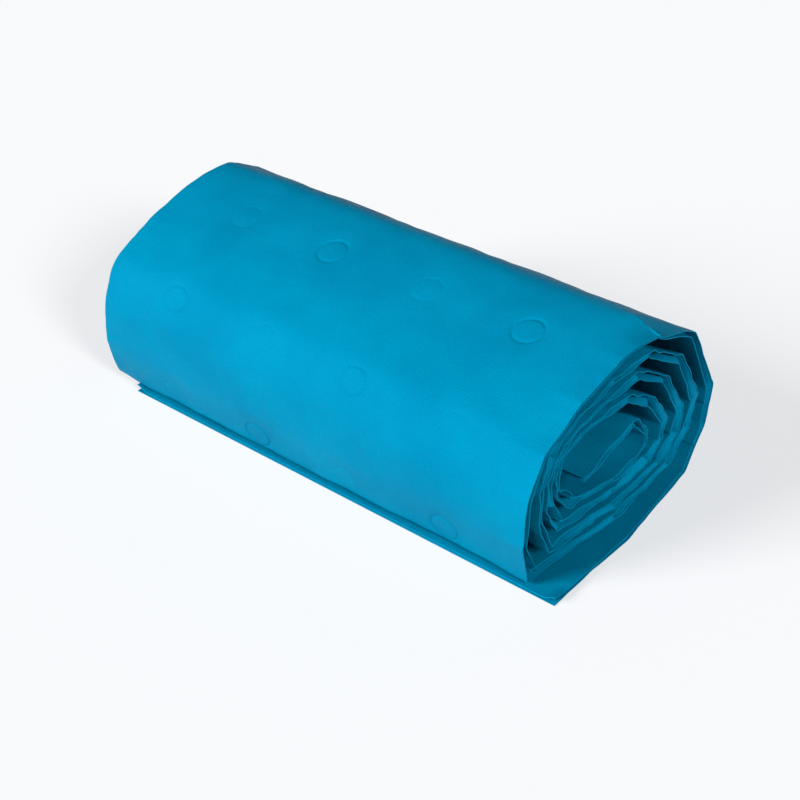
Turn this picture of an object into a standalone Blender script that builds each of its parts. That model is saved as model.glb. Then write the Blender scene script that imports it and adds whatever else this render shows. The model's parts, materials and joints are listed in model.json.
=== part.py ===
"""Inflatable air mat, deflated and rolled up for storage.

The mat is two coated sheets, joined round their edge by side walls and end walls that fold inwards
when the air is out, and held to one thickness by folded tie strips between the sheets. It lies rolled
about the X axis: the tail end is flat on the floor, and the mat climbs the back, crosses the top, comes
down the front and winds in to a hollow core. The last turn opens at creases, where it unrolls.

Metres, +Z up, front towards -Y. Outlines are (y, z) points measured from the tail's front edge.
"""

import bisect
import math

import bmesh
import bpy
from mathutils import Matrix, Vector

# Mat
MAT_WIDTH = 0.620            # along the roll's axis
SHEET = 0.0009               # coated fabric
LAYER = 0.0086               # deflated mat, outer face to inner face
GAP = 0.0003                 # clearance between neighbouring solids
TELESCOPE = 0.036            # how far the last turn stands out of the roll's end

# Roll: corners of the outermost turn, and of the core that the winding closes in on
OUTER_TURN = [
    (0.000, 0.000), (0.160, 0.000), (0.252, 0.025), (0.290, 0.069), (0.304, 0.115), (0.257, 0.200),
    (0.192, 0.238), (0.126, 0.225), (0.062, 0.203), (0.005, 0.168), (-0.014, 0.118), (-0.014, 0.060),
]
CORE_TURN = [
    (0.060, 0.086), (0.130, 0.080), (0.158, 0.088), (0.170, 0.102), (0.172, 0.120), (0.150, 0.146),
    (0.122, 0.160), (0.096, 0.158), (0.072, 0.150), (0.052, 0.137), (0.044, 0.121), (0.046, 0.102),
]
FULL_TURNS = 4
LAST_CORNER = 5              # corner of the fifth turn where the inner end folds back
TUCKED_CORNER = (0.004, 0.010)  # front bottom corner of the roll, where it comes down on the tail
CORE_FLAP = (0.062, 0.116)   # free edge of the inner end, which crosses the core
TIGHTENING = 1.08            # above 1, the inner turns lie further apart than the outer ones

# Side walls and end walls, folded in between the sheets
SIDE_FOLD = 0.048            # depth of a side wall's fold
END_FOLD = 0.034             # depth of an end wall's fold
END_SETBACK = 0.002          # end wall behind the sheets' edge
EDGE_WELD = 0.004            # side wall's open edge behind the sheets' edge

# Tie strips, in rows across the mat
TIE_ROWS = 21
TIE_PITCH = 0.135
TIE_FIRST = 0.070            # first row from the tail's edge, along the mat
TIE_FOLD = 0.050             # depth of a strip's fold
TIE_SHEET = 0.0006
TIE_LENGTH = 0.500           # along X

# Valve, on the outer sheet at the back
VALVE_CORNER = 4             # first corner of the facet that carries it
VALVE_PLACE = 0.50           # how far along that facet
VALVE_X = -0.180
FLANGE_RADIUS = 0.0300
FLANGE = 0.0012
COLLAR_RADIUS = 0.0175
COLLAR_TOP = 0.0070          # heights are above the sheet's outer face
BORE_RADIUS = 0.0145
INSERT_RADIUS = 0.0142
INSERT_BORE = 0.0110
INSERT_FLOOR = -0.0020
INSERT_PLATE = 0.0014
PORT_COUNT = 6
PORT_RADIUS = 0.0024
PORT_CIRCLE = 0.0068
STEM_HOLE = 0.0016
STEM_RADIUS = 0.0011
STEM_HEAD_RADIUS = 0.0024
FLAP_RADIUS = 0.0105
FLAP = 0.0008
FLAP_TRAVEL = 0.0020
CAP_RADIUS = 0.0190
CAP = 0.0020
PLUG_RADIUS = 0.0104
PLUG_DEPTH = 0.0035
HINGE_REACH = 0.0225         # hinge line from the valve's centre
TAB_WIDTH = 0.0120
STRAP_RADIUS = 0.0205
STRAP = 0.0014
POST_SETBACK = 0.0012        # strap's post behind the hinge line
POST = 0.0020
HOLE_CLEARANCE = 0.0010
ROUND_STEPS = 40

# Axis order that stands a flat outline in the YZ plane, extruded along X
UPRIGHT = Matrix(((0, 0, 1), (1, 0, 0), (0, 1, 0))).to_4x4()


# ---------------------------------------------------------------- winding

def corner(number):
    """Corner of the mat's outer face, counted from the tail's edge."""
    if number > LAST_INDEX:
        return Vector(CORE_FLAP)
    sides = len(OUTER_TURN)
    if number == sides:
        return Vector(TUCKED_CORNER)
    progress = (number / LAST_INDEX) ** TIGHTENING if number >= sides else 0.0
    side = number % sides
    return Vector(OUTER_TURN[side]).lerp(Vector(CORE_TURN[side]), progress)


LAST_INDEX = FULL_TURNS * len(OUTER_TURN) + LAST_CORNER
CORNERS = [corner(number) for number in range(LAST_INDEX + 2)]
MIDDLE_Y = (min(y for y, z in OUTER_TURN) + max(y for y, z in OUTER_TURN)) / 2


def facet_inward(number):
    """Unit normal of a facet, towards the roll's core."""
    along = (CORNERS[number + 1] - CORNERS[number]).normalized()
    return Vector((-along.y, along.x))


def inset_corner(number, depth):
    """Corner of the face that lies at a depth inside the mat's outer face."""
    before = facet_inward(max(number - 1, 0))
    after = facet_inward(min(number, len(CORNERS) - 2))
    mitre = (before + after) / (1 + before.dot(after))
    return CORNERS[number] + mitre * depth


def place(station, depth):
    """Point at a station (corner number plus the share of the facet passed) and a depth."""
    number = min(int(station), len(CORNERS) - 2)
    start = inset_corner(number, depth)
    return start.lerp(inset_corner(number + 1, depth), station - number)


def distances():
    """Distance of each corner from the tail's edge, along the mat."""
    passed = [0.0]
    for start, end in zip(CORNERS, CORNERS[1:]):
        passed.append(passed[-1] + (end - start).length)
    return passed


DISTANCES = distances()
MAT_LENGTH = DISTANCES[-1]
LAST_STATION = len(CORNERS) - 1


def station_at(distance):
    """Station at a distance from the tail's edge."""
    number = min(bisect.bisect_right(DISTANCES, distance) - 1, len(CORNERS) - 2)
    return number + (distance - DISTANCES[number]) / (DISTANCES[number + 1] - DISTANCES[number])


def stations_between(first, last):
    """Both ends of a stretch and every corner inside it."""
    inner = [float(n) for n in range(math.floor(first) + 1, math.ceil(last))]
    return [first] + inner + [last]


# ---------------------------------------------------------------- making objects

def fresh_collection(name):
    for obj in list(bpy.data.objects):
        bpy.data.objects.remove(obj, do_unlink=True)
    collection = bpy.data.collections.new(name)
    bpy.context.scene.collection.children.link(collection)
    return collection


def principled(name, colour, roughness):
    material = bpy.data.materials.new(name)
    material.use_nodes = True
    shader = material.node_tree.nodes["Principled BSDF"]
    shader.inputs["Base Color"].default_value = (*colour, 1.0)
    shader.inputs["Roughness"].default_value = roughness
    shader.inputs["Metallic"].default_value = 0.0
    return material


def add(name, data, material, collection, matrix=None):
    obj = bpy.data.objects.new(name, data)
    obj.data.materials.append(material)
    if matrix:
        obj.matrix_world = matrix
    collection.objects.link(obj)
    return obj


def outline_solid(name, outline, half_width, centre_x, material, collection):
    """A closed (y, z) outline, extruded both ways along X."""
    curve = bpy.data.curves.new(name, "CURVE")
    curve.dimensions = "2D"
    curve.fill_mode = "BOTH"
    curve.extrude = half_width
    spline = curve.splines.new("POLY")
    spline.points.add(len(outline) - 1)
    for point, (y, z) in zip(spline.points, outline):
        point.co = (y - MIDDLE_Y, z, 0.0, 1.0)
    spline.use_cyclic_u = True
    return add(name, curve, material, collection, Matrix.Translation((centre_x, 0, 0)) @ UPRIGHT)


def sheet_outline(first, last, depth, thickness):
    """Outline of a strip that follows the winding from one station to another."""
    stations = stations_between(first, last)
    outer = [place(station, depth) for station in stations]
    inner = [place(station, depth + thickness) for station in reversed(stations)]
    return outer + inner


def fold_outline(opening, fold, near, far, thickness):
    """Outline of a strip folded in two: its leaves meet at one station and open at the other."""
    backwards = fold < opening
    inside_fold = station_at(distance_of(fold) + (thickness if backwards else -thickness))
    leaves = []
    for end, depth in ((fold, near), (inside_fold, near + thickness)):
        stations = stations_between(*sorted((opening, end)))
        if backwards:
            stations.reverse()
        leaves.append((stations, depth))
    (outer, near_face), (inner, near_back) = leaves
    far_back = far - thickness
    outline = [place(station, near_face) for station in outer]
    outline += [place(station, far) for station in reversed(outer)]
    outline += [place(station, far_back) for station in inner]
    outline += [place(station, near_back) for station in reversed(inner)]
    return outline


def distance_of(station):
    number = min(int(station), len(CORNERS) - 2)
    return DISTANCES[number] + (station - number) * (DISTANCES[number + 1] - DISTANCES[number])


def side_wall(name, first, last, centre_x, side, material, collection):
    """A wall folded in between the sheets along one edge, open to the outside."""
    near = SHEET + GAP + SHEET / 2
    far = LAYER - near
    edge = centre_x + side * (MAT_WIDTH / 2 - EDGE_WELD)
    fold = centre_x + side * (MAT_WIDTH / 2 - SIDE_FOLD)
    rows = [(edge, near), (fold, near), (fold, far), (edge, far)]
    stations = stations_between(first, last)
    mesh = bpy.data.meshes.new(name)
    cage = bmesh.new()
    bmesh.ops.create_grid(cage, x_segments=len(stations) - 1, y_segments=len(rows) - 1, size=0.5)
    for vert in cage.verts:
        column = round((vert.co.x + 0.5) * (len(stations) - 1))
        x, depth = rows[round((vert.co.y + 0.5) * (len(rows) - 1))]
        y, z = place(stations[column], depth)
        vert.co = (x, y - MIDDLE_Y, z)
    cage.to_mesh(mesh)
    cage.free()
    wall = add(name, mesh, material, collection)
    thicken = wall.modifiers.new("Thickness", "SOLIDIFY")
    thicken.thickness = SHEET
    thicken.offset = 0.0
    thicken.use_even_offset = True
    return wall


def as_mesh(obj):
    """The same object with its curve turned into a closed mesh."""
    evaluated = obj.evaluated_get(bpy.context.evaluated_depsgraph_get())
    mesh = bpy.data.meshes.new_from_object(evaluated)
    name, matrix = obj.name, obj.matrix_world.copy()
    collection = obj.users_collection[0]
    bpy.data.objects.remove(obj, do_unlink=True)
    work = bmesh.new()
    work.from_mesh(mesh)
    bmesh.ops.remove_doubles(work, verts=work.verts, dist=1e-5)
    work.to_mesh(mesh)
    work.free()
    solid = bpy.data.objects.new(name, mesh)
    solid.matrix_world = matrix
    collection.objects.link(solid)
    return solid


def turned(name, profile, matrix, material, collection):
    """A profile of (radius, height) points, turned about the local Z axis."""
    mesh = bpy.data.meshes.new(name)
    loop = [(radius, 0.0, height) for radius, height in profile]
    closed = profile[0][0] > 0 or profile[-1][0] > 0
    count = len(loop)
    edges = [(n, (n + 1) % count) for n in range(count if closed else count - 1)]
    mesh.from_pydata(loop, edges, [])
    obj = add(name, mesh, material, collection, matrix)
    screw = obj.modifiers.new("Turn", "SCREW")
    screw.steps = ROUND_STEPS
    screw.render_steps = ROUND_STEPS
    screw.use_merge_vertices = True
    screw.merge_threshold = 1e-5
    return obj


def cutter_cylinder(name, radius, height, matrix, collection):
    mesh = bpy.data.meshes.new(name)
    work = bmesh.new()
    bmesh.ops.create_cone(work, cap_ends=True, segments=ROUND_STEPS, radius1=radius, radius2=radius,
                          depth=height)
    work.to_mesh(mesh)
    work.free()
    obj = bpy.data.objects.new(name, mesh)
    obj.matrix_world = matrix
    obj.hide_render = True
    obj.display_type = "WIRE"
    collection.objects.link(obj)
    return obj


def box_mesh(name, size, matrix):
    mesh = bpy.data.meshes.new(name)
    work = bmesh.new()
    bmesh.ops.create_cube(work, size=1.0)
    bmesh.ops.scale(work, vec=size, verts=work.verts)
    bmesh.ops.transform(work, matrix=matrix, verts=work.verts)
    work.to_mesh(mesh)
    work.free()
    return mesh


def boolean(obj, other, operation):
    modifier = obj.modifiers.new(f"{operation.title()} {other.name}", "BOOLEAN")
    modifier.operation = operation
    modifier.object = other


# ---------------------------------------------------------------- the mat

def mat_stretches():
    """Name, first and last station, and X centre of each part of the mat between its creases."""
    tail_x = TELESCOPE / 2
    return [
        ("tail", 0.0, 1.0, tail_x),
        ("rear_lower", 1.0, 2.0, tail_x),
        ("rear_upper", 2.0, 3.0, tail_x),
        ("roll", 3.0, float(LAST_STATION), -tail_x),
    ]


def inside_creases(first, last):
    """A stretch's ends, drawn back so that neighbours don't touch."""
    start = station_at(distance_of(first) + GAP / 2) if first > 0 else first
    end = station_at(distance_of(last) - GAP / 2) if last < LAST_STATION else last
    return start, end


def make_skins(material, collection):
    half = MAT_WIDTH / 2
    for name, first, last, centre_x in mat_stretches():
        start, end = inside_creases(first, last)
        outer = sheet_outline(start, end, 0.0, SHEET)
        outline_solid(f"outer_sheet_{name}", outer, half, centre_x, material, collection)
        inner = sheet_outline(start, end, LAYER - SHEET, SHEET)
        outline_solid(f"inner_sheet_{name}", inner, half, centre_x, material, collection)
        side_wall(f"right_wall_{name}", start, end, centre_x, 1, material, collection)
        side_wall(f"left_wall_{name}", start, end, centre_x, -1, material, collection)


def make_end_walls(material, collection):
    near = SHEET + GAP
    far = LAYER - near
    half = MAT_WIDTH / 2 - SIDE_FOLD - SHEET
    ends = [
        ("tail_end_wall", END_SETBACK, END_SETBACK + END_FOLD, TELESCOPE / 2),
        ("core_end_wall", MAT_LENGTH - END_SETBACK, MAT_LENGTH - END_SETBACK - END_FOLD, -TELESCOPE / 2),
    ]
    for name, opening, fold, centre_x in ends:
        outline = fold_outline(station_at(opening), station_at(fold), near, far, SHEET)
        outline_solid(name, outline, half, centre_x, material, collection)


def make_ties(material, collection):
    near = SHEET + GAP
    far = LAYER - near
    for row in range(TIE_ROWS):
        centre = TIE_FIRST + row * TIE_PITCH
        opening = station_at(centre - TIE_FOLD / 2)
        fold = station_at(centre + TIE_FOLD / 2)
        centre_x = TELESCOPE / 2 if fold < 3 else -TELESCOPE / 2
        outline = fold_outline(opening, fold, near, far, TIE_SHEET)
        outline_solid(f"tie_strip_{row + 1:02d}", outline, TIE_LENGTH / 2, centre_x, material, collection)


# ---------------------------------------------------------------- the valve

def valve_frame():
    """Origin on the outer sheet, local Z outwards and local Y up the facet."""
    low, high = CORNERS[VALVE_CORNER], CORNERS[VALVE_CORNER + 1]
    centre = low.lerp(high, VALVE_PLACE)
    up = (high - low).normalized()
    out = -facet_inward(VALVE_CORNER)
    matrix = Matrix((
        (-1.0, 0.0, 0.0, VALVE_X),
        (0.0, up.x, out.x, centre.x - MIDDLE_Y),
        (0.0, up.y, out.y, centre.y),
        (0.0, 0.0, 0.0, 1.0),
    ))
    return matrix


def make_valve(sheet, hard, soft, collection, cutters):
    frame = valve_frame()
    hole = cutter_cylinder("valve_hole", BORE_RADIUS + HOLE_CLEARANCE, 4 * SHEET, frame, cutters)
    boolean(sheet, hole, "DIFFERENCE")

    turned("valve_base", [
        (FLANGE_RADIUS, GAP), (FLANGE_RADIUS - FLANGE, GAP + FLANGE), (COLLAR_RADIUS, GAP + FLANGE),
        (COLLAR_RADIUS, COLLAR_TOP), (BORE_RADIUS, COLLAR_TOP), (BORE_RADIUS, GAP),
    ][::-1], frame, hard, collection)

    insert = turned("valve_insert", [
        (INSERT_RADIUS, INSERT_FLOOR), (INSERT_RADIUS, COLLAR_TOP), (INSERT_BORE, COLLAR_TOP),
        (INSERT_BORE, INSERT_FLOOR + INSERT_PLATE), (STEM_HOLE, INSERT_FLOOR + INSERT_PLATE),
        (STEM_HOLE, INSERT_FLOOR),
    ][::-1], frame, hard, collection)
    for number in range(PORT_COUNT):
        angle = 2 * math.pi * number / PORT_COUNT
        spot = Matrix.Translation((PORT_CIRCLE * math.cos(angle), PORT_CIRCLE * math.sin(angle),
                                   INSERT_FLOOR + INSERT_PLATE / 2))
        port = cutter_cylinder(f"port_{number + 1}", PORT_RADIUS, 2 * INSERT_PLATE, frame @ spot, cutters)
        boolean(insert, port, "DIFFERENCE")

    head = INSERT_FLOOR + INSERT_PLATE + FLAP_TRAVEL + GAP
    turned("valve_flap", [
        (0.0, INSERT_FLOOR - GAP - FLAP), (FLAP_RADIUS, INSERT_FLOOR - GAP - FLAP),
        (FLAP_RADIUS, INSERT_FLOOR - GAP), (STEM_RADIUS, INSERT_FLOOR - GAP), (STEM_RADIUS, head),
        (STEM_HEAD_RADIUS, head), (STEM_HEAD_RADIUS, head + FLAP), (0.0, head + FLAP),
    ][::-1], frame, soft, collection)
    return frame


def make_valve_strap(frame, soft, collection, cutters):
    """A ring round the collar, with a tongue and a post that carry the cap's hinge."""
    low = 2 * GAP + FLANGE
    strap = turned("valve_strap", [
        (COLLAR_RADIUS + GAP, low), (STRAP_RADIUS, low), (STRAP_RADIUS, low + STRAP),
        (COLLAR_RADIUS + GAP, low + STRAP),
    ], frame, soft, collection)
    back = HINGE_REACH + POST_SETBACK + POST
    front = STRAP_RADIUS - STRAP
    join_box(strap, "strap_tongue", (TAB_WIDTH, back - front, STRAP), (0, (back + front) / 2, low + STRAP / 2),
             frame, cutters)
    rise = COLLAR_TOP - low
    join_box(strap, "strap_post", (TAB_WIDTH, POST, rise), (0, back - POST / 2, low + rise / 2),
             frame, cutters)


def make_valve_cap(frame, soft, collection, cutters):
    """A lid with a plug, a finger tab, and a lug that ends at the hinge line."""
    underside = COLLAR_TOP + GAP
    top = underside + CAP
    middle = underside + CAP / 2
    pivot = bpy.data.objects.new("valve_cap_hinge", None)
    pivot.matrix_world = frame @ Matrix.Translation((0, HINGE_REACH, middle))
    collection.objects.link(pivot)
    cap = turned("valve_cap", [
        (0.0, underside - PLUG_DEPTH), (PLUG_RADIUS, underside - PLUG_DEPTH), (PLUG_RADIUS, underside),
        (CAP_RADIUS, underside), (CAP_RADIUS, top - CAP / 4), (CAP_RADIUS - CAP / 4, top), (0.0, top),
    ], frame, soft, collection)
    thickness = CAP - 2 * GAP
    start = CAP_RADIUS - CAP
    for name, end in (("cap_lug", HINGE_REACH - GAP), ("cap_tab", -HINGE_REACH - CAP)):
        side = math.copysign(1.0, end)
        size = (TAB_WIDTH, abs(end) - start, thickness)
        join_box(cap, name, size, (0, side * (abs(end) + start) / 2, middle), frame, cutters)
    cap.parent = pivot
    cap.matrix_parent_inverse = pivot.matrix_world.inverted()


def join_box(obj, name, size, centre, frame, cutters):
    """Joins a box to a turned piece, both in the valve's own frame."""
    box = bpy.data.objects.new(name, box_mesh(name, size, Matrix.Translation(centre)))
    box.matrix_world = frame
    box.hide_render = True
    box.display_type = "WIRE"
    cutters.objects.link(box)
    boolean(obj, box, "UNION")


def main():
    collection = fresh_collection("air_mat")
    cutters = bpy.data.collections.new("cutters")
    bpy.context.scene.collection.children.link(cutters)
    fabric = principled("blue_coated_fabric", (0.0, 0.235, 0.470), 0.38)
    webbing = principled("tie_fabric", (0.012, 0.200, 0.400), 0.60)
    hard = principled("valve_plastic", (0.030, 0.032, 0.036), 0.35)
    soft = principled("valve_rubber", (0.045, 0.047, 0.050), 0.55)
    make_skins(fabric, collection)
    make_end_walls(fabric, collection)
    make_ties(webbing, collection)
    sheet = as_mesh(bpy.data.objects["outer_sheet_roll"])
    frame = make_valve(sheet, hard, soft, collection, cutters)
    make_valve_strap(frame, soft, collection, cutters)
    make_valve_cap(frame, soft, collection, cutters)
    print(f"flat length {MAT_LENGTH:.3f} m")


main()
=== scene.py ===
"""The looks of the rolled air mat: coated sheets, folded side walls and end walls, tie strips and valve.

Every sheet is one surface over (s, x): s runs along the mat from the tail's edge, and x across it. The
winding carries s round the roll, and depth goes from the mat's outer face towards the roll's core.
"""

import json
import math

import bpy
import numpy as np
from mathutils import Matrix, Vector


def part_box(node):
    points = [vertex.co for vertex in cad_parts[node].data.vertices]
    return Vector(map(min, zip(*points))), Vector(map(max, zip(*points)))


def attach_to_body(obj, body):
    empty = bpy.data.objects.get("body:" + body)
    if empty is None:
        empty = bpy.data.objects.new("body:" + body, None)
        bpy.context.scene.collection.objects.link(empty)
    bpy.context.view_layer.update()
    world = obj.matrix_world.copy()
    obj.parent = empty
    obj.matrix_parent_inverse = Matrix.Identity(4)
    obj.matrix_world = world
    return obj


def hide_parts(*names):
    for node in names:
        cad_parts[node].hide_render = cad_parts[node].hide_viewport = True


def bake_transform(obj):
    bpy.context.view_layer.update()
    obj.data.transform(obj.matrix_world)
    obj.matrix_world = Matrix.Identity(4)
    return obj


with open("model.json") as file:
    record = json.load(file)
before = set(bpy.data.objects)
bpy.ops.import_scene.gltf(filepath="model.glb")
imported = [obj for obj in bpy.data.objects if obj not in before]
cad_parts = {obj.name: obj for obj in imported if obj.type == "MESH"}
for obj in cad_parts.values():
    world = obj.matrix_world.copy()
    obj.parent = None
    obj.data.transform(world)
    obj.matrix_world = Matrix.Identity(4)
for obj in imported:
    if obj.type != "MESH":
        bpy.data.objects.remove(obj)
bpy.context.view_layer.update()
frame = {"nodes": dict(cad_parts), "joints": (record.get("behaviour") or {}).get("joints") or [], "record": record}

# ---------------------------------------------------------------- dimensions, in metres

# Corners of the outermost turn and of the core, from the tail's front edge
OUTER_TURN = [
    (0.000, 0.000), (0.142, 0.000), (0.252, 0.025), (0.290, 0.069), (0.304, 0.115), (0.257, 0.200),
    (0.192, 0.238), (0.126, 0.225), (0.062, 0.203), (0.005, 0.168), (-0.014, 0.118), (-0.014, 0.060),
]
CORE_TURN = [
    (0.060, 0.086), (0.130, 0.080), (0.158, 0.088), (0.170, 0.102), (0.172, 0.120), (0.150, 0.146),
    (0.122, 0.160), (0.096, 0.158), (0.072, 0.150), (0.052, 0.137), (0.044, 0.121), (0.046, 0.102),
]
TUCKED_CORNER = (0.003, 0.0058)
CORE_FLAP = (0.062, 0.116)
FULL_TURNS = 4
LAST_CORNER = 5
TIGHTENING = 1.08
EDGE_TIGHTENING = 1.15       # at the mat's side edges, where the second turn lies closer to the last one

SHEET = 0.0009
LAYER = 0.0086               # outer face to inner face, away from the mat's edges
LIP_LAYER = 0.0038           # at the tail's edge, pressed flat
LIP_LENGTH = 0.120
EDGE_OPEN = 0.60             # share of the winding's pitch that the mat's edges open to
EDGE_LAYER = (0.0042, 0.0165)  # least and most that the edges open to
CORE_PITCH = 0.014           # taken as the pitch where no further turn lies inside
LAST_TURN_EDGES = [          # what the last turn's edges open to instead, by corner number
    (0, 0.0100), (0.15, 0.0066), (0.5, 0.0066), (1, 0.0078), (2, 0.0085), (3, 0.0125), (4, 0.0155),
    (5, 0.0095), (6, 0.0050), (7, 0.0048), (9, 0.0075), (11, 0.0095),
]
POCKET_CORNER = 47.55        # a fold in the core gapes at the right end, at this corner number
POCKET_REACH = 0.50          # in corner numbers
POCKET_OPENING = 0.0060
EDGE_ZONE = 0.062            # how far in from its edge a sheet opens
LIP_ZONE = 0.016             # how far in from its edge the pressed tail opens

NEAR_EDGE_ROUNDING = 0.0022  # how far along the mat a corner is rounded
FAR_EDGE_ROUNDING = 0.0110
MIDDLE_ROUNDING = 0.0170
CREASE_ROUNDING = 0.0050
CREASE_REACH = 0.030

RING_PITCH = 0.1350
RING_FIRST = 0.072
RING_COLUMNS = 4
RING_RADIUS = 0.0175
RING_WIDTH = 0.0032
RING_DEPTH = 0.0014
FIRM_RINGS = 1               # every other ring shows firmly, like the squares of a chess board
DIMPLE_RADIUS = 0.0380
DIMPLE_DEPTH = 0.0009

VALVE_PLACE = -0.180         # along the roll, from the frame's origin

WALL_DEPTH = 0.048
WALL_SETBACK = 0.0006
DEEP_REACH = 0.032           # in which a wall's leaves come together where it lies deep, and where flush
FLUSH_REACH = 0.0022
END_SETBACK = 0.0015
END_FOLD = 0.034
TIE_ROWS = 21
TIE_PITCH = 0.135
TIE_FIRST = 0.078
TIE_FOLD = 0.050
TIE_SHEET = 0.0006
TIE_LENGTH = 0.500

# The mat's middle line, 1 at the tail's middle and -1 at the roll's: the last turn runs evenly from the one
# to the other, and the inner turns swing towards the tail's side at the back and away from it in front
INNER_LEAN = -0.20
INNER_SWING = 0.60
SWING_CORNER = 16            # where the inner turns stand furthest to the tail's side

TAIL_LOW, TAIL_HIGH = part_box("outer_sheet_tail")
ROLL_LOW, ROLL_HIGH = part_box("outer_sheet_roll")
FRONT_Y = TAIL_LOW.y
TAIL_X = (TAIL_LOW.x + TAIL_HIGH.x) / 2
ROLL_X = (ROLL_LOW.x + ROLL_HIGH.x) / 2
MAT_WIDTH = TAIL_HIGH.x - TAIL_LOW.x
HALF = MAT_WIDTH / 2


# ---------------------------------------------------------------- winding

def smoothstep(low, high, value):
    t = np.clip((value - low) / (high - low), 0, 1)
    return t * t * (3 - 2 * t)


def winding_corners(tightening):
    sides = len(OUTER_TURN)
    last = FULL_TURNS * sides + LAST_CORNER
    corners = []
    for number in range(last + 1):
        progress = (number / last) ** tightening if number >= sides else 0.0
        outer = np.array(OUTER_TURN[number % sides])
        core = np.array(CORE_TURN[number % sides])
        corners.append(outer + (core - outer) * progress)
    corners[sides] = np.array(TUCKED_CORNER)
    corners.append(np.array(CORE_FLAP))
    return np.array(corners)


CORNERS = winding_corners(TIGHTENING)
EDGES = winding_corners(EDGE_TIGHTENING)
SIDES = len(OUTER_TURN)
STEPS = np.linalg.norm(np.diff(CORNERS, axis=0), axis=1)
CORNER_S = np.concatenate(([0.0], np.cumsum(STEPS)))
MAT_LENGTH = CORNER_S[-1]
PATH_STEP = 0.0005
PATH_S = np.arange(0, MAT_LENGTH + PATH_STEP / 2, PATH_STEP)


def smoothed(values, sigma):
    """Rounds a path's corners, and keeps its ends where they are."""
    reach = int(4 * sigma / PATH_STEP)
    kernel = np.exp(-0.5 * (np.arange(-reach, reach + 1) * PATH_STEP / sigma) ** 2)
    kernel /= kernel.sum()
    head = 2 * values[0] - values[reach:0:-1]
    tail = 2 * values[-1] - values[-2:-reach - 2:-1]
    return np.convolve(np.concatenate((head, values, tail)), kernel, "valid")


def rounded_path(corners, sigma):
    y = smoothed(np.interp(PATH_S, CORNER_S, corners[:, 0]), sigma)
    z = smoothed(np.interp(PATH_S, CORNER_S, corners[:, 1]), sigma)
    slope_y, slope_z = np.gradient(y), np.gradient(z)
    length = np.hypot(slope_y, slope_z)
    return np.stack([y, z, -slope_z / length, slope_y / length], axis=1)


def with_creases(soft, sharp, corners, reach):
    """The soft path, with some of its corners kept as creases."""
    share = np.zeros(len(PATH_S))
    for number in corners:
        share = np.maximum(share, np.exp(-((PATH_S - CORNER_S[number]) / reach) ** 2))
    return soft * (1 - share[:, None]) + sharp * share[:, None]


SHARP_PATH = rounded_path(EDGES, NEAR_EDGE_ROUNDING)
FAR_PATH = rounded_path(EDGES, FAR_EDGE_ROUNDING)
SOFT_PATH = with_creases(rounded_path(CORNERS, MIDDLE_ROUNDING), rounded_path(CORNERS, CREASE_ROUNDING),
                         range(SIDES, len(CORNERS) - 1, SIDES), CREASE_REACH)


def side_shift():
    """Where the mat's middle line stands, along the path: 1 at the tail's middle and -1 at the roll's."""
    number = np.interp(PATH_S, CORNER_S, np.arange(len(CORNER_S)))
    last_turn = 1 - 2 * number / SIDES
    inner_turns = INNER_LEAN + INNER_SWING * np.cos(2 * math.pi * (number - SWING_CORNER) / SIDES)
    return smoothed(last_turn + (inner_turns - last_turn) * smoothstep(SIDES, SIDES + 1, number), 0.008)


SHIFT_PATH = side_shift()


def pitch_along():
    """Distance between neighbouring turns at the side edges, at each corner."""
    pitches = []
    for number in range(len(EDGES) - 1):
        inner = number + SIDES
        if inner >= len(EDGES) - 1:
            pitches.append(CORE_PITCH)
            continue
        along = EDGES[number + 1] - EDGES[number]
        inward = np.array((-along[1], along[0])) / np.linalg.norm(along)
        pitches.append(abs((EDGES[inner] - EDGES[number]) @ inward))
    pitches.append(CORE_PITCH)
    return np.array(pitches)


PITCH = pitch_along()


def noise(s, x, seed, size):
    """Smooth noise from -1 to 1 over the mat, with bumps of about the given size."""
    rng = np.random.default_rng(seed)
    total = np.zeros(np.broadcast(s, x).shape)
    for _ in range(9):
        angle = rng.uniform(0, 2 * math.pi)
        wave = 2 * math.pi / (size * rng.uniform(0.75, 1.6))
        phase = rng.uniform(0, 2 * math.pi)
        total = total + np.sin((s * math.cos(angle) + x * math.sin(angle)) * wave + phase)
    return np.clip(total / 4.2, -1, 1)


def centre_x(s):
    """X of the mat's middle line."""
    wander = 0.0012 * np.sin(s * 21.0) * smoothstep(CORNER_S[SIDES + 1], CORNER_S[SIDES + 2], s)
    return (TAIL_X + ROLL_X) / 2 + (TAIL_X - ROLL_X) / 2 * np.interp(s, PATH_S, SHIFT_PATH) + wander


def pocket_share(s, reach):
    """1 in the middle of the gaping fold and 0 away from it."""
    number = np.interp(s, CORNER_S, np.arange(len(CORNER_S)))
    return np.exp(-((number - POCKET_CORNER) / reach) ** 4)


def layer(s, x):
    """Thickness of the deflated mat."""
    middle = LIP_LAYER + (LAYER - LIP_LAYER) * smoothstep(0, LIP_LENGTH, s)
    at_edge = np.clip(EDGE_OPEN * np.interp(s, CORNER_S, PITCH), *EDGE_LAYER)
    at_edge = at_edge * (1 + 0.16 * np.sin(s * 37.0 + 1.0))
    numbers, openings = zip(*LAST_TURN_EDGES)
    last_turn = np.interp(s, np.interp(numbers, np.arange(len(CORNER_S)), CORNER_S), openings)
    at_edge = last_turn + (at_edge - last_turn) * smoothstep(CORNER_S[SIDES - 1], CORNER_S[SIDES], s)
    at_edge = at_edge + pocket_share(s, POCKET_REACH) * POCKET_OPENING * (np.asarray(x) > 0)
    zone = LIP_ZONE + (EDGE_ZONE - LIP_ZONE) * smoothstep(0, LIP_LENGTH, s)
    return middle + (at_edge - middle) * smoothstep(HALF - zone, HALF, np.abs(x))


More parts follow.
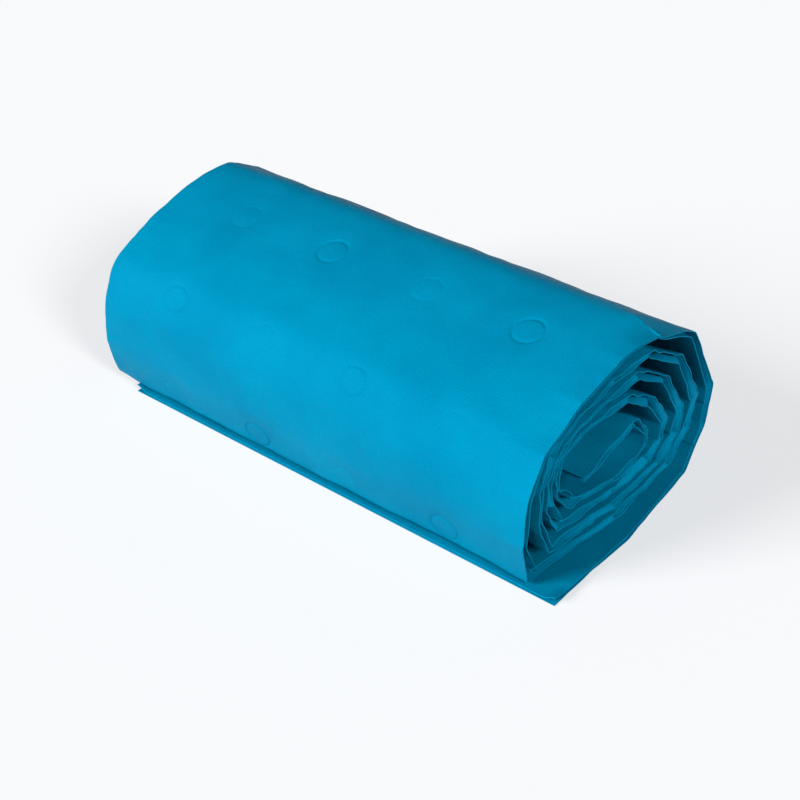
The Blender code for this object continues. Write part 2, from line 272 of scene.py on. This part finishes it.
def sag(s, x):
    """The last turn's edges drop on to the roll where the top turns to the back."""
    reach = np.exp(-((s - CORNER_S[6] + 0.006) / 0.036) ** 2)
    right = 0.0135 * smoothstep(HALF - 0.036, HALF - 0.002, x)
    left = 0.004 * smoothstep(HALF - 0.08, HALF, -x)
    return reach * (right + left)


def place(s, x, depth):
    """World points for arrays of s, x and depth."""
    s, x, depth = np.broadcast_arrays(np.asarray(s, float), np.asarray(x, float), np.asarray(depth, float))
    sharpness = smoothstep(HALF - 0.055, HALF - 0.004, np.abs(x))[..., None]
    depth = depth + sag(s, x)
    index = np.clip(s / PATH_STEP, 0, len(PATH_S) - 1.001)
    low = index.astype(int)
    part = (index - low)[..., None]
    soft = SOFT_PATH[low] * (1 - part) + SOFT_PATH[low + 1] * part
    near_end = (x > 0)[..., None]
    sharp = np.where(near_end, SHARP_PATH[low] * (1 - part) + SHARP_PATH[low + 1] * part,
                     FAR_PATH[low] * (1 - part) + FAR_PATH[low + 1] * part)
    path = soft * (1 - sharpness) + sharp * sharpness
    y = path[..., 0] + path[..., 2] * depth
    z = path[..., 1] + path[..., 3] * depth
    ragged = np.sin(s * 61.0 + depth * 260.0) + 0.7 * np.sin(s * 143.0 + 1.3 + depth * 190.0)
    uneven = 0.0003 + 0.0006 * smoothstep(CORNER_S[SIDES], CORNER_S[SIDES + 1], s)
    out = uneven * ragged * smoothstep(HALF - 0.02, HALF, np.abs(x)) * np.sign(x)
    return np.stack([centre_x(s) + x + out, y + FRONT_Y, z], axis=-1)


# ---------------------------------------------------------------- surface relief

def ring_centres():
    rows = int((MAT_LENGTH - 2 * RING_FIRST) / RING_PITCH) + 1
    columns = [(n - (RING_COLUMNS - 1) / 2) * RING_PITCH for n in range(RING_COLUMNS)]
    return [(RING_FIRST + row * RING_PITCH, column) for row in range(rows) for column in columns]


RINGS = ring_centres()
VALVE_S = (CORNER_S[4] + CORNER_S[5]) / 2
VALVE_X = VALVE_PLACE - float(centre_x(VALVE_S))
VALVE_HOLE = 0.019           # under the flange


def ring_relief(s, x):
    """Depth of the welded rings and of the dimples that they pull into the sheet."""
    depth = np.zeros(np.broadcast(s, x).shape)
    for number, (ring_s, ring_x) in enumerate(RINGS):
        firmness = 1.0 if (number // RING_COLUMNS + number) % 2 == FIRM_RINGS else 0.35
        r = np.hypot(s - ring_s, x - ring_x)
        near = r < DIMPLE_RADIUS * 1.2
        if not near.any():
            continue
        dimple = DIMPLE_DEPTH * (1 - smoothstep(RING_RADIUS, DIMPLE_RADIUS, r))
        groove = RING_DEPTH * np.exp(-((r - RING_RADIUS) / (RING_WIDTH / 2)) ** 2)
        centre = -0.4 * DIMPLE_DEPTH * (1 - smoothstep(0, RING_RADIUS * 0.8, r))
        depth += np.where(near, dimple + groove * firmness + centre, 0)
    return depth


def away_from_valve(s, x):
    """1 away from the valve and 0 at it, where the sheet is glued flat."""
    return smoothstep(0.036, 0.060, np.hypot(s - VALVE_S, x - VALVE_X))


def puckers(s, x):
    """Small folds that run in from the side edges, where the walls pull on the sheets."""
    along = np.sin(s * 230 + 2.0 * np.sin(s * 37)) * np.sin(s * 61 + 0.7)
    return 0.0009 * along * smoothstep(HALF - 0.040, HALF, np.abs(x)) * smoothstep(0, 0.03, s)


def sheet_relief(s, x):
    """How far a sheet lies inside its plain face, in metres."""
    wave = 0.0009 * (1 + noise(s, x, 3, 0.17)) + 0.0004 * (1 + noise(s, x, 5, 0.060))
    inner_turns = smoothstep(CORNER_S[SIDES], CORNER_S[SIDES + 1], s)
    waves = wave * smoothstep(0, 0.05, s) * away_from_valve(s, x)
    return waves + ring_relief(s, x) + puckers(s, x) * (0.3 + inner_turns)


# ---------------------------------------------------------------- meshes

COARSE_STEP = 0.0045
FINE_STEP = 0.0015
LEAST_STEP = 0.0007
RING_REACH = 0.024           # how far round a ring's middle the mesh is fine


def grid_object(name, points, s, x, material, thickness=0.0, hole=None):
    """A grid of points (rows along s, columns across) as an object with a metric UV map."""
    rows, columns = points.shape[:2]
    mesh = bpy.data.meshes.new(name)
    index = np.arange(rows * columns).reshape(rows, columns)
    quads = np.stack([index[:-1, :-1], index[:-1, 1:], index[1:, 1:], index[1:, :-1]], axis=-1).reshape(-1, 4)
    s, x = (np.broadcast_to(values, (rows, columns)) for values in (s, x))
    if hole:
        distance = np.hypot(s - hole[0], x - hole[1]).reshape(-1)[quads].mean(axis=1)
        quads = quads[distance > hole[2]]
    mesh.vertices.add(rows * columns)
    mesh.vertices.foreach_set("co", points.reshape(-1))
    mesh.loops.add(quads.size)
    mesh.loops.foreach_set("vertex_index", quads.reshape(-1))
    mesh.polygons.add(len(quads))
    mesh.polygons.foreach_set("loop_start", np.arange(0, quads.size, 4))
    mesh.update(calc_edges=True)
    mesh.validate()
    coordinates = np.stack((x, s), axis=-1).reshape(-1, 2)[quads.reshape(-1)]
    layer_uv = mesh.uv_layers.new(name="flat")
    layer_uv.data.foreach_set("uv", coordinates.reshape(-1))
    mesh.shade_smooth()
    mesh.materials.append(material)
    obj = bpy.data.objects.new(name, mesh)
    bpy.context.scene.collection.objects.link(obj)
    if thickness:
        solid = obj.modifiers.new("Thickness", "SOLIDIFY")
        solid.thickness = thickness
        solid.offset = -1.0
    return obj


def fine_steps(low, high, base, spots, reach, fine):
    """Values from low to high, base apart, and fine apart within reach of each spot."""
    values = [low]
    while values[-1] < high - fine * 0.5:
        here = values[-1]
        close = any(abs(here - spot) < reach for spot in spots)
        step = fine if close else base
        if not close:
            ahead = [spot - reach - here for spot in spots if here < spot - reach < here + step]
            if ahead:
                step = max(min(ahead), fine)
        values.append(here + step)
    values[-1] = high
    return np.array(values)


def rows_for(first, last, fine_rings):
    corners = [s for s in CORNER_S if first - 0.01 < s < last + 0.01]
    shown = CORNER_S[SIDES]
    rings = []
    if fine_rings:
        rings = sorted({s for s, _ in RINGS if first - 0.03 < s < min(last + 0.03, shown)})
    steps = fine_steps(first, last, COARSE_STEP, corners, 0.006, FINE_STEP)
    if rings:
        ring_steps = fine_steps(first, last, COARSE_STEP, rings, RING_REACH, FINE_STEP)
        steps = np.unique(np.round(np.concatenate((steps, ring_steps)), 5))
        keep = np.concatenate(([True], np.diff(steps) > LEAST_STEP))
        steps = steps[keep]
        steps[-1] = last
    return steps


def columns_for(fine_rings):
    if fine_rings:
        spots = sorted({x for _, x in RINGS})
        middle = fine_steps(-HALF + 0.03, HALF - 0.03, 0.006, spots, RING_REACH, FINE_STEP)
    else:
        middle = np.linspace(-HALF + 0.062, HALF - 0.062, 11)
    edge = np.array([0.0, 0.0008, 0.002, 0.0035, 0.0055, 0.008, 0.011, 0.0145, 0.0185, 0.023])
    if not fine_rings:
        edge = np.concatenate((edge, [0.028, 0.034, 0.041, 0.049]))
    return np.concatenate((-HALF + edge, middle, (HALF - edge)[::-1]))


# ---------------------------------------------------------------- materials

def node(tree, kind, **inputs):
    made = tree.nodes.new(kind)
    for name, value in inputs.items():
        made.inputs[name.replace("_", " ")].default_value = value
    return made


def math_node(tree, operation, first, second=None):
    made = tree.nodes.new("ShaderNodeMath")
    made.operation = operation
    for slot, value in zip(made.inputs, (first, second)):
        if value is None:
            continue
        if isinstance(value, (int, float)):
            slot.default_value = value
        else:
            tree.links.new(value, slot)
    return made.outputs[0]


def coated_fabric(name, colour, shade, roughness, grid_pitch):
    """Coated fabric: the woven scrim shows through a satin coat as a fine square grid."""
    material = bpy.data.materials.new(name)
    material.use_nodes = True
    tree = material.node_tree
    shader = tree.nodes["Principled BSDF"]
    links = tree.links
    shader.inputs["Metallic"].default_value = 0.0
    shader.inputs["IOR"].default_value = 1.30
    shader.inputs["Specular IOR Level"].default_value = 0.03
    shader.inputs["Specular Tint"].default_value = (0.0, 0.80, 1.0, 1)
    flat = node(tree, "ShaderNodeUVMap")
    flat.uv_map = "flat"
    parts = tree.nodes.new("ShaderNodeSeparateXYZ")
    links.new(flat.outputs["UV"], parts.inputs[0])
    ribs = []
    for output in ("X", "Y"):
        phase = math_node(tree, "MULTIPLY", parts.outputs[output], math.pi / grid_pitch)
        wave = math_node(tree, "SINE", phase)
        ribs.append(math_node(tree, "POWER", math_node(tree, "ABSOLUTE", wave), 0.5))
    scrim = math_node(tree, "MULTIPLY", ribs[0], ribs[1])
    cloud = node(tree, "ShaderNodeTexNoise", Scale=9.0, Detail=3.0, Roughness=0.55)
    grain = node(tree, "ShaderNodeTexNoise", Scale=620.0, Detail=2.0, Roughness=0.6)
    crease = node(tree, "ShaderNodeTexNoise", Scale=70.0, Detail=4.0, Roughness=0.65)
    for texture in (cloud, grain, crease):
        links.new(flat.outputs["UV"], texture.inputs["Vector"])
    ramp = tree.nodes.new("ShaderNodeValToRGB")
    ramp.color_ramp.elements[0].position = 0.36
    ramp.color_ramp.elements[0].color = (*shade, 1)
    ramp.color_ramp.elements[1].position = 0.66
    ramp.color_ramp.elements[1].color = (*colour, 1)
    links.new(cloud.outputs["Fac"], ramp.inputs["Fac"])
    # Fine grain in the colour, up and down by about a tenth: partly the coat's own grain, partly painted glints in
    # place of the speckled sheen that the grain shows in the light.
    grain_and_painted_glints = tree.nodes.new("ShaderNodeMapRange")
    grain_and_painted_glints.inputs["From Min"].default_value = 0.30
    grain_and_painted_glints.inputs["From Max"].default_value = 0.70
    grain_and_painted_glints.inputs["To Min"].default_value = 0.90
    grain_and_painted_glints.inputs["To Max"].default_value = 1.11
    links.new(grain.outputs["Fac"], grain_and_painted_glints.inputs["Value"])
    tinted = tree.nodes.new("ShaderNodeVectorMath")
    tinted.operation = "SCALE"
    links.new(ramp.outputs["Color"], tinted.inputs[0])
    links.new(grain_and_painted_glints.outputs["Result"], tinted.inputs["Scale"])
    links.new(tinted.outputs["Vector"], shader.inputs["Base Color"])
    rough = tree.nodes.new("ShaderNodeMapRange")
    rough.inputs["To Min"].default_value = roughness - 0.05
    rough.inputs["To Max"].default_value = roughness + 0.09
    links.new(crease.outputs["Fac"], rough.inputs["Value"])
    links.new(rough.outputs["Result"], shader.inputs["Roughness"])
    height = math_node(tree, "MULTIPLY", scrim, 0.45)
    height = math_node(tree, "ADD", height, math_node(tree, "MULTIPLY", grain.outputs["Fac"], 1.1))
    height = math_node(tree, "ADD", height, math_node(tree, "MULTIPLY", crease.outputs["Fac"], 0.9))
    bump = node(tree, "ShaderNodeBump", Strength=0.7, Distance=0.0006)
    links.new(height, bump.inputs["Height"])
    links.new(bump.outputs["Normal"], shader.inputs["Normal"])
    return material


def moulded(name, colour, roughness, scale):
    """Moulded plastic or rubber with a fine grain and a little uneven gloss."""
    material = bpy.data.materials.new(name)
    material.use_nodes = True
    tree = material.node_tree
    shader = tree.nodes["Principled BSDF"]
    shader.inputs["Metallic"].default_value = 0.0
    place_at = tree.nodes.new("ShaderNodeTexCoord")
    grain = node(tree, "ShaderNodeTexNoise", Scale=scale, Detail=3.0, Roughness=0.6)
    tree.links.new(place_at.outputs["Object"], grain.inputs["Vector"])
    ramp = tree.nodes.new("ShaderNodeValToRGB")
    ramp.color_ramp.elements[0].color = (*(0.8 * c for c in colour), 1)
    ramp.color_ramp.elements[1].color = (*(1.25 * c for c in colour), 1)
    tree.links.new(grain.outputs["Fac"], ramp.inputs["Fac"])
    tree.links.new(ramp.outputs["Color"], shader.inputs["Base Color"])
    rough = tree.nodes.new("ShaderNodeMapRange")
    rough.inputs["To Min"].default_value = roughness - 0.06
    rough.inputs["To Max"].default_value = roughness + 0.08
    tree.links.new(grain.outputs["Fac"], rough.inputs["Value"])
    tree.links.new(rough.outputs["Result"], shader.inputs["Roughness"])
    bump = node(tree, "ShaderNodeBump", Strength=0.35, Distance=0.0001)
    tree.links.new(grain.outputs["Fac"], bump.inputs["Height"])
    tree.links.new(bump.outputs["Normal"], shader.inputs["Normal"])
    return material


FABRIC = coated_fabric("blue_coated_fabric", (0.0, 0.164, 0.284), (0.0, 0.141, 0.255), 0.38, 0.0036)
TIE_FABRIC = coated_fabric("tie_fabric", (0.0, 0.15, 0.30), (0.0, 0.13, 0.27), 0.62, 0.0024)
HARD_BLACK = moulded("valve_plastic", (0.030, 0.032, 0.036), 0.36, 900.0)
SOFT_BLACK = moulded("valve_rubber", (0.045, 0.047, 0.050), 0.58, 700.0)


# ---------------------------------------------------------------- the mat

def stretches():
    """Name, ends along the mat, the joint of its crease and the facet before it; the roll has neither."""
    joints = {joint["child"]: joint for joint in frame["joints"]}
    cuts = [0.0]
    for number in range(1, 4):
        cuts.append((CORNER_S[number] + CORNER_S[number + 1]) / 2)
    cuts.append(MAT_LENGTH)
    return [
        ("tail", cuts[0], cuts[1], joints["rear_lower_panel"], 0),
        ("rear_lower", cuts[1], cuts[2], joints["rear_upper_panel"], 1),
        ("rear_upper", cuts[2], cuts[3], joints["roll"], 2),
        ("roll", cuts[3], cuts[4], None, None),
    ]


BEND = 0.012                 # length of mat each side of a crease; attach takes points there but bends nothing


def attach(obj, joint, facet):
    """Lets a piece ride on the roll; any other piece stays where it lies, with its transform baked."""
    if joint is None:
        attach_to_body(obj, "roll")
        return
    crease_s = CORNER_S[facet + 1]
    start = Vector(place(crease_s - BEND, 0, 0).tolist())
    end = Vector(place(crease_s + BEND, 0, 0).tolist())
    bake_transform(obj)


def outer_depth(s, x):
    return sheet_relief(s, x)


def inner_depth(s, x):
    return layer(s, x) - sheet_relief(s, x) * 0.4


def sheet_surface(first, last, fine, depth):
    """Points, s and x of a sheet; a fine one has close rows at the last turn's rings, and close columns."""
    s = rows_for(first, last, fine)[:, None]
    x = columns_for(fine)[None, :]
    return place(s, x, depth(s, x)), s, x


def make_sheets():
    for name, first, last, joint, facet in stretches():
        points, s, x = sheet_surface(first, last, True, outer_depth)
        hole = (VALVE_S, VALVE_X, VALVE_HOLE) if joint is None else None
        outer = grid_object(f"outer_skin_{name}", points[:, ::-1], s, x[:, ::-1], FABRIC, SHEET, hole)
        points, s, x = sheet_surface(first, last, False, inner_depth)
        inner = grid_object(f"inner_skin_{name}", points, s, x, FABRIC, SHEET)
        for obj, node_name in ((outer, f"outer_sheet_{name}"), (inner, f"inner_sheet_{name}")):
            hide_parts(node_name)
            attach(obj, joint, facet)


WALL_SECTION = [0.0, 0.001, 0.0025, 0.0045, 0.007, 0.010, 0.0135, 0.018, 0.024, 0.031, 0.038, 0.044, 0.048]


def wall_folds(s, side):
    """How flush a side wall's fold lies, and the share of the layer at which its leaves meet.

    At each corner of the winding the wall is pinched: it rises to lie flush with the mat's edge on one
    side of the corner and drops deep on the other, which leaves a pocket.
    """
    number = np.clip(np.searchsorted(CORNER_S, s, side="right") - 1, 0, len(CORNER_S) - 2)
    turn_corner = number % SIDES
    along = (s - CORNER_S[number]) / (CORNER_S[number + 1] - CORNER_S[number])
    falling = (turn_corner >= 4) & (turn_corner <= 9)
    rise = np.where(falling, 1 - along, along)
    rng = np.random.default_rng(17 + side)
    power = rng.uniform(0.35, 1.0, len(CORNER_S))[number]
    peak = rng.uniform(0.74, 0.96, len(CORNER_S))[number]
    last_front = (number >= 5) & (number <= 11)
    peak = np.where(last_front, 0.25, np.where(number <= 4, 0.45, peak))
    flush = peak * np.clip(rise, 0, 1) ** power
    if side > 0:
        flush = flush * (1 - pocket_share(s, POCKET_REACH * 1.2))
    over_top = (turn_corner >= 5) & (turn_corner <= 10)
    meeting = 0.5 + np.where(over_top, -0.40, 0.36) * flush
    return flush, meeting


def wall_surface(first, last, side):
    """A side wall folded in between the sheets: from the outer sheet's edge in to the fold and back."""
    s = rows_for(first, last, False)
    inward = np.array(WALL_SECTION)
    across = np.concatenate((inward, inward[::-1]))
    s_grid, across_grid = np.meshgrid(s, across, indexing="ij")
    flush, meeting = wall_folds(s_grid, side)
    reach = DEEP_REACH ** (1 - flush) * FLUSH_REACH ** flush
    closing = (1 - np.exp(-across_grid / reach)) / (1 - np.exp(-WALL_DEPTH / reach)) * 0.97
    near = np.arange(len(across)) < len(inward)
    share = np.where(near, meeting * closing, 1 - (1 - meeting) * closing)
    x = side * (HALF - WALL_SETBACK - across_grid)
    crumple = 0.05 * noise(s_grid, across_grid * 2, 31, 0.020) * (1 - np.abs(2 * share - 1))
    share = np.clip(share + crumple, 0, 1)
    start = outer_depth(s_grid, x) + SHEET * 0.5
    end = inner_depth(s_grid, x) - SHEET * 0.5
    depth = start + share * (end - start)
    return place(s_grid, x, depth), s_grid


def make_walls():
    for name, first, last, joint, facet in stretches():
        for side, label in ((1, "right"), (-1, "left")):
            points, s = wall_surface(first, last, side)
            v = np.concatenate((np.array(WALL_SECTION), 2 * WALL_DEPTH - np.array(WALL_SECTION)[::-1]))
            v = np.broadcast_to(v, s.shape)
            if side < 0:
                points, s, v = points[:, ::-1], s[:, ::-1], v[:, ::-1]
            wall = grid_object(f"{label}_side_{name}", points, s, v, FABRIC)
            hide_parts(f"{label}_wall_{name}")
            attach(wall, joint, facet)


def folded_strip(name, opening, fold, half_width, thickness, material):
    """A strip across the mat, folded in two between the sheets, in place of the plain one."""
    count = 15
    there = np.linspace(opening, fold, count)
    bulge = np.sin(np.linspace(0, math.pi, 5))[1:-1] * math.copysign(0.0012, fold - opening)
    s = np.concatenate((there, fold + bulge, there[::-1]))
    share = np.concatenate((np.zeros(count), [0.25, 0.5, 0.75], np.ones(count)))
    v = np.concatenate(([0.0], np.cumsum(np.hypot(np.diff(s), np.diff(share) * LAYER))))
    x = np.linspace(-half_width, half_width, 46)
    s_grid, x_grid = np.meshgrid(s, x, indexing="ij")
    near = outer_depth(s_grid, x_grid) + SHEET + 0.0004
    far = inner_depth(s_grid, x_grid) - SHEET - 0.0004
    draw = 0.30 * (1 - np.abs(np.linspace(-1, 1, len(s))))[:, None] ** 0.7
    lean = np.clip(share[:, None] + np.where(share[:, None] < 0.5, draw, -draw), 0, 1)
    points = place(s_grid, x_grid, near + lean * (far - near))
    strip = grid_object(f"{name}_cloth", points, np.broadcast_to(v[:, None], s_grid.shape), x_grid, material)
    solid = strip.modifiers.new("Thickness", "SOLIDIFY")
    solid.thickness = thickness
    solid.offset = 0.0
    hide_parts(name)
    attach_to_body(strip, body_of(name))


def body_of(name):
    bodies = frame["record"]["behaviour"]["bodies"]
    return next(body for body, members in bodies.items() if name in members)


def make_folded_strips():
    for row in range(TIE_ROWS):
        centre = TIE_FIRST + row * TIE_PITCH
        folded_strip(f"tie_strip_{row + 1:02d}", centre - TIE_FOLD / 2, centre + TIE_FOLD / 2, TIE_LENGTH / 2,
                     TIE_SHEET, TIE_FABRIC)
    half = HALF - WALL_DEPTH - SHEET
    ends = [
        ("tail_end_wall", END_SETBACK, END_SETBACK + END_FOLD),
        ("core_end_wall", MAT_LENGTH - END_SETBACK, MAT_LENGTH - END_SETBACK - END_FOLD),
    ]
    for name, opening, fold in ends:
        folded_strip(name, opening, fold, half, SHEET, FABRIC)


def make_simple_materials():
    for name, obj in frame["nodes"].items():
        if name.startswith("tie_strip"):
            material = TIE_FABRIC
        elif name in ("valve_base", "valve_insert"):
            material = HARD_BLACK
        elif name.startswith("valve"):
            material = SOFT_BLACK
        else:
            material = FABRIC
        for slot in obj.material_slots:
            slot.material = material


# ---------------------------------------------------------------- stage, lights and camera

def make_stage():
    mesh = bpy.data.meshes.new("floor")
    size = 60.0
    corners = [(-size, -size, 0), (size, -size, 0), (size, size, 0), (-size, size, 0)]
    mesh.from_pydata(corners, [], [(0, 1, 2, 3)])
    floor = bpy.data.objects.new("floor", mesh)
    floor.location.z = -0.0005
    material = bpy.data.materials.new("pale_floor")
    material.use_nodes = True
    shader = material.node_tree.nodes["Principled BSDF"]
    shader.inputs["Base Color"].default_value = (0.25, 0.252, 0.254, 1)
    shader.inputs["Roughness"].default_value = 0.9
    shader.inputs["Specular IOR Level"].default_value = 0.1
    shader.inputs["Emission Color"].default_value = (0.955, 0.975, 1.0, 1)
    shader.inputs["Emission Strength"].default_value = 0.625
    mesh.materials.append(material)
    bpy.context.scene.collection.objects.link(floor)


def sun(name, direction, strength, spread):
    """A soft far light, shining along the given direction."""
    data = bpy.data.lights.new(name, "SUN")
    data.energy = strength
    data.angle = math.radians(spread)
    light = bpy.data.objects.new(name, data)
    light.rotation_euler = Vector(direction).to_track_quat("-Z", "Y").to_euler()
    bpy.context.scene.collection.objects.link(light)


def make_lights():
    sun("key", (0.50, 0.95, -0.50), 5.5, 24)
    sun("fill", (-0.88, 0.30, -0.55), 3.2, 14)
    world = bpy.data.worlds.new("studio")
    bpy.context.scene.world = world
    world.use_nodes = True
    background = world.node_tree.nodes["Background"]
    background.inputs["Color"].default_value = (0.96, 0.98, 1.0, 1)
    background.inputs["Strength"].default_value = 0.10


CAMERA_AZIMUTH = math.radians(40.38)
CAMERA_ELEVATION = math.radians(32.77)
CAMERA_OFFSET = Vector((0.6836, -1.0422, 1.0418))   # from the tail's near front corner
CAMERA_LENS = 72.0


def make_camera():
    data = bpy.data.cameras.new("camera")
    data.lens = CAMERA_LENS
    data.sensor_width = 36.0
    camera = bpy.data.objects.new("camera", data)
    a, e = CAMERA_AZIMUTH, CAMERA_ELEVATION
    back = Vector((math.sin(a) * math.cos(e), -math.cos(a) * math.cos(e), math.sin(e)))
    right = Vector((math.cos(a), math.sin(a), 0))
    up = back.cross(right)
    turn = Matrix((right, up, back)).transposed().to_4x4()
    corner = Vector((TAIL_HIGH.x, FRONT_Y, 0))
    camera.matrix_world = Matrix.Translation(corner + CAMERA_OFFSET) @ turn
    bpy.context.scene.collection.objects.link(camera)
    bpy.context.scene.camera = camera
    bpy.context.scene.view_settings.view_transform = "Standard"


make_camera()
make_stage()
make_lights()
make_simple_materials()
make_sheets()
make_walls()
make_folded_strips()
